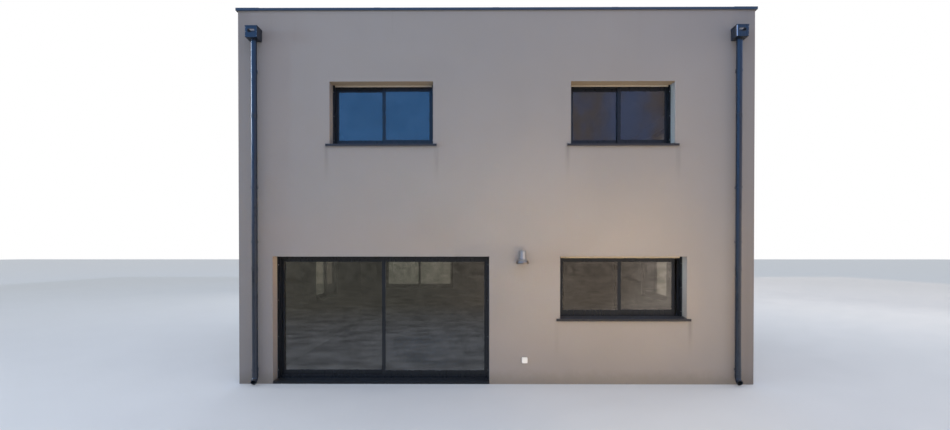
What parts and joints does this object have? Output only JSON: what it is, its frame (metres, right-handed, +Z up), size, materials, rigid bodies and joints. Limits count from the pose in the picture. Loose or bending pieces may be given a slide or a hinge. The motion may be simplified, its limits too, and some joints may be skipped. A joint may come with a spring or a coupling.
{
  "type": "detached house",
  "caption": "Two-storey house with a flat roof behind a parapet, sliding windows, a sliding patio door and rainwater pipes at the front corners.",
  "frame": {"origin": "on the ground, in the middle of the footprint", "axes": "+X along the front wall to the right as seen from outside, +Y from the front into the house, +Z up"},
  "size_m": [9.08, 8.278, 6.563],
  "materials": {
    "render": "fine mineral render",
    "concrete": "smooth concrete",
    "roof_membrane": "mineral felt",
    "coping": "satin powder coat",
    "rainwater_metal": "satin powder coat",
    "frame_metal": "fine textured powder coat",
    "window_glass": "clear",
    "sill": "satin powder coat",
    "shutter_slat": "satin",
    "lamp_steel": "brushed",
    "opal_glass": "opal",
    "white_plastic": "satin"
  },
  "bodies": {
    "house": {"front_wall_left": "render", "front_wall_right": "render", "front_wall_upper": "render", "left_wall": "render", "right_wall": "render", "back_wall": "render", "ground_slab": "concrete", "upper_floor_slab": "concrete", "roof_slab": "concrete", "roof_membrane": "roof_membrane", "coping_lengths": "coping", "coping_corners": "coping", "hopper_left": "rainwater_metal", "hopper_right": "rainwater_metal", "downpipe_left": "rainwater_metal", "downpipe_right": "rainwater_metal", "pipe_brackets": "rainwater_metal", "patio_door_frame": "frame_metal", "patio_threshold": "frame_metal", "upper_left_window_frame": "frame_metal", "upper_left_window_sashes": "frame_metal", "upper_right_window_frame": "frame_metal", "upper_right_window_sashes": "frame_metal", "ground_window_frame": "frame_metal", "ground_window_sashes": "frame_metal", "rear_window_frames": "frame_metal", "rear_window_sashes": "frame_metal", "shutter_guides": "frame_metal", "entrance_door_frame": "frame_metal", "entrance_door_leaf": "frame_metal", "upper_left_window_glass": "window_glass", "upper_right_window_glass": "window_glass", "ground_window_glass": "window_glass", "rear_window_glass": "window_glass", "window_sills": "sill", "shutter_slats": "shutter_slat", "wall_light_bracket": "lamp_steel", "wall_light_bell": "lamp_steel", "wall_light_globe": "opal_glass", "wall_socket": "white_plastic"},
    "patio_left": {"patio_left_leaf": "frame_metal", "patio_left_glass": "window_glass"},
    "patio_right": {"patio_right_leaf": "frame_metal", "patio_right_glass": "window_glass"}
  },
  "joints": [
    {"name": "patio_left_slide", "type": "slide", "parent": "house", "child": "patio_left", "axis": [1, 0, 0], "range_m": [0, 1.75]},
    {"name": "patio_right_slide", "type": "slide", "parent": "house", "child": "patio_right", "axis": [1, 0, 0], "range_m": [-1.75, 0]}
  ]
}
